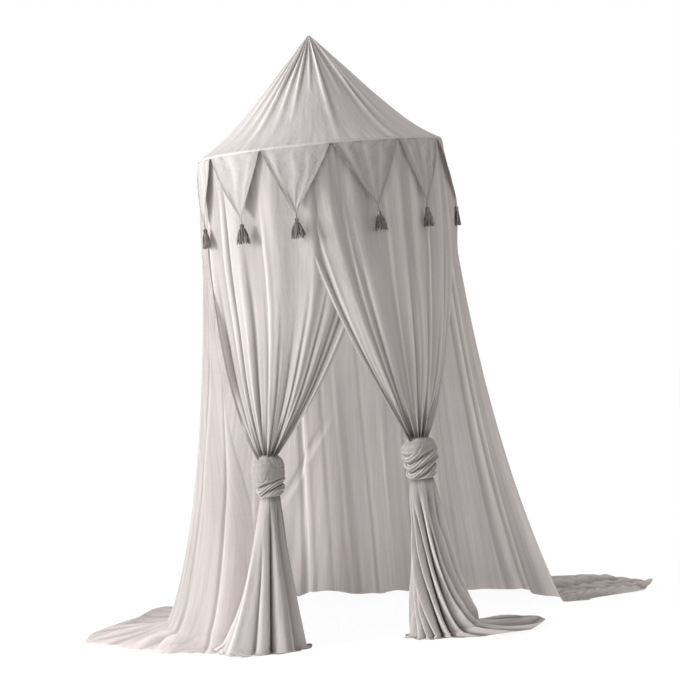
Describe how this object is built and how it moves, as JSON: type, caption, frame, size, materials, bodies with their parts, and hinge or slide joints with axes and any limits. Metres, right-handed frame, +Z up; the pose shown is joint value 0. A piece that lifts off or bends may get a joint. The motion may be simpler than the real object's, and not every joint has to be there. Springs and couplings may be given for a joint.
{
  "type": "bed crown canopy",
  "caption": "Hanging gauze bed canopy with a hooped cone roof, pointed valance with tassels, and front curtains tied in knots.",
  "frame": {"origin": "the point inside the top of the hanging ring where a hook bears", "axes": "+Z up along the canopy's axis, +X to the right of a viewer in front, the open front faces -Y"},
  "size_m": [2.4123, 1.4526, 2.4068],
  "materials": {
    "gauze": "matte",
    "tassel_yarn": "matte",
    "tape": "matte",
    "hoop_paint": "satin",
    "steel": "satin"
  },
  "bodies": {
    "canopy": {"hanging_ring": "steel", "hanging_tape": "tape", "roof_cone": "gauze", "hoop_rod_1": "hoop_paint", "hoop_ferrule_1": "steel", "hoop_rod_2": "hoop_paint", "hoop_ferrule_2": "steel", "hoop_rod_3": "hoop_paint", "hoop_ferrule_3": "steel", "hoop_rod_4": "hoop_paint", "hoop_ferrule_4": "steel", "hoop_casing": "gauze", "pennant_01": "gauze", "pennant_02": "gauze", "pennant_03": "gauze", "pennant_04": "gauze", "pennant_05": "gauze", "pennant_06": "gauze", "pennant_07": "gauze", "pennant_08": "gauze", "pennant_09": "gauze", "pennant_10": "gauze", "pennant_11": "gauze", "wall_right": "gauze", "wall_back": "gauze", "wall_left": "gauze", "curtain_left": "gauze", "knot_left": "gauze", "tail_left": "gauze", "curtain_right": "gauze", "knot_right": "gauze", "tail_right": "gauze"},
    "cord_01": {"tassel_cord_01": "tassel_yarn"},
    "tassel_01": {"tassel_01": "tassel_yarn"},
    "cord_02": {"tassel_cord_02": "tassel_yarn"},
    "tassel_02": {"tassel_02": "tassel_yarn"},
    "cord_03": {"tassel_cord_03": "tassel_yarn"},
    "tassel_03": {"tassel_03": "tassel_yarn"},
    "cord_04": {"tassel_cord_04": "tassel_yarn"},
    "tassel_04": {"tassel_04": "tassel_yarn"},
    "cord_05": {"tassel_cord_05": "tassel_yarn"},
    "tassel_05": {"tassel_05": "tassel_yarn"},
    "cord_06": {"tassel_cord_06": "tassel_yarn"},
    "tassel_06": {"tassel_06": "tassel_yarn"},
    "cord_07": {"tassel_cord_07": "tassel_yarn"},
    "tassel_07": {"tassel_07": "tassel_yarn"},
    "cord_08": {"tassel_cord_08": "tassel_yarn"},
    "tassel_08": {"tassel_08": "tassel_yarn"},
    "cord_09": {"tassel_cord_09": "tassel_yarn"},
    "tassel_09": {"tassel_09": "tassel_yarn"},
    "cord_10": {"tassel_cord_10": "tassel_yarn"},
    "tassel_10": {"tassel_10": "tassel_yarn"},
    "cord_11": {"tassel_cord_11": "tassel_yarn"},
    "tassel_11": {"tassel_11": "tassel_yarn"}
  },
  "joints": [
    {"name": "cord_swing_01", "type": "hinge", "parent": "canopy", "child": "cord_01", "pos_m": [0.20376, -0.47624, -0.71867], "axis": [-0.9194, -0.3934, 0], "range_deg": [0, 70]},
    {"name": "tassel_sway_01", "type": "hinge", "parent": "cord_01", "child": "tassel_01", "pos_m": [0.20376, -0.47624, -0.73867], "axis": [0.3934, -0.9194, 0], "range_deg": [-40, 40]},
    {"name": "cord_swing_02", "type": "hinge", "parent": "canopy", "child": "cord_02", "pos_m": [0.39907, -0.33025, -0.71867], "axis": [-0.6375, -0.7704, 0], "range_deg": [0, 70]},
    {"name": "tassel_sway_02", "type": "hinge", "parent": "cord_02", "child": "tassel_02", "pos_m": [0.39907, -0.33025, -0.73867], "axis": [0.7704, -0.6375, 0], "range_deg": [-40, 40]},
    {"name": "cord_swing_03", "type": "hinge", "parent": "canopy", "child": "cord_03", "pos_m": [0.534, 0.0011, -0.71867], "axis": [0.0021, -1, 0], "range_deg": [0, 70]},
    {"name": "tassel_sway_03", "type": "hinge", "parent": "cord_03", "child": "tassel_03", "pos_m": [0.534, 0.0011, -0.73867], "axis": [1, 0.0021, 0], "range_deg": [-40, 40]},
    {"name": "cord_swing_04", "type": "hinge", "parent": "canopy", "child": "cord_04", "pos_m": [0.46774, 0.25763, -0.71867], "axis": [0.4824, -0.8759, 0], "range_deg": [0, 70]},
    {"name": "tassel_sway_04", "type": "hinge", "parent": "cord_04", "child": "tassel_04", "pos_m": [0.46774, 0.25763, -0.73867], "axis": [0.8759, 0.4824, 0], "range_deg": [-40, 40]},
    {"name": "cord_swing_05", "type": "hinge", "parent": "canopy", "child": "cord_05", "pos_m": [0.22928, 0.48227, -0.71867], "axis": [0.9031, -0.4294, 0], "range_deg": [0, 70]},
    {"name": "tassel_sway_05", "type": "hinge", "parent": "cord_05", "child": "tassel_05", "pos_m": [0.22928, 0.48227, -0.73867], "axis": [0.4294, 0.9031, 0], "range_deg": [-40, 40]},
    {"name": "cord_swing_06", "type": "hinge", "parent": "canopy", "child": "cord_06", "pos_m": [-0.03074, 0.53312, -0.71867], "axis": [0.9983, 0.0576, 0], "range_deg": [0, 70]},
    {"name": "tassel_sway_06", "type": "hinge", "parent": "cord_06", "child": "tassel_06", "pos_m": [-0.03074, 0.53312, -0.73867], "axis": [-0.0576, 0.9983, 0], "range_deg": [-40, 40]},
    {"name": "cord_swing_07", "type": "hinge", "parent": "canopy", "child": "cord_07", "pos_m": [-0.33626, 0.41484, -0.71867], "axis": [0.7768, 0.6297, 0], "range_deg": [0, 70]},
    {"name": "tassel_sway_07", "type": "hinge", "parent": "cord_07", "child": "tassel_07", "pos_m": [-0.33626, 0.41484, -0.73867], "axis": [-0.6297, 0.7768, 0], "range_deg": [-40, 40]},
    {"name": "cord_swing_08", "type": "hinge", "parent": "canopy", "child": "cord_08", "pos_m": [-0.49771, 0.1935, -0.71867], "axis": [0.3624, 0.932, 0], "range_deg": [0, 70]},
    {"name": "tassel_sway_08", "type": "hinge", "parent": "cord_08", "child": "tassel_08", "pos_m": [-0.49771, 0.1935, -0.73867], "axis": [-0.932, 0.3624, 0], "range_deg": [-40, 40]},
    {"name": "cord_swing_09", "type": "hinge", "parent": "canopy", "child": "cord_09", "pos_m": [-0.48525, -0.18125, -0.71867], "axis": [-0.3499, 0.9368, 0], "range_deg": [0, 70]},
    {"name": "tassel_sway_09", "type": "hinge", "parent": "cord_09", "child": "tassel_09", "pos_m": [-0.48525, -0.18125, -0.73867], "axis": [-0.9368, -0.3499, 0], "range_deg": [-40, 40]},
    {"name": "cord_swing_10", "type": "hinge", "parent": "canopy", "child": "cord_10", "pos_m": [-0.32803, -0.4009, -0.71867], "axis": [-0.7739, 0.6333, 0], "range_deg": [0, 70]},
    {"name": "tassel_sway_10", "type": "hinge", "parent": "cord_10", "child": "tassel_10", "pos_m": [-0.32803, -0.4009, -0.73867], "axis": [-0.6333, -0.7739, 0], "range_deg": [-40, 40]},
    {"name": "cord_swing_11", "type": "hinge", "parent": "canopy", "child": "cord_11", "pos_m": [-0.11268, -0.5056, -0.71867], "axis": [-0.9761, 0.2175, 0], "range_deg": [0, 70]},
    {"name": "tassel_sway_11", "type": "hinge", "parent": "cord_11", "child": "tassel_11", "pos_m": [-0.11268, -0.5056, -0.73867], "axis": [-0.2175, -0.9761, 0], "range_deg": [-40, 40]}
  ]
}
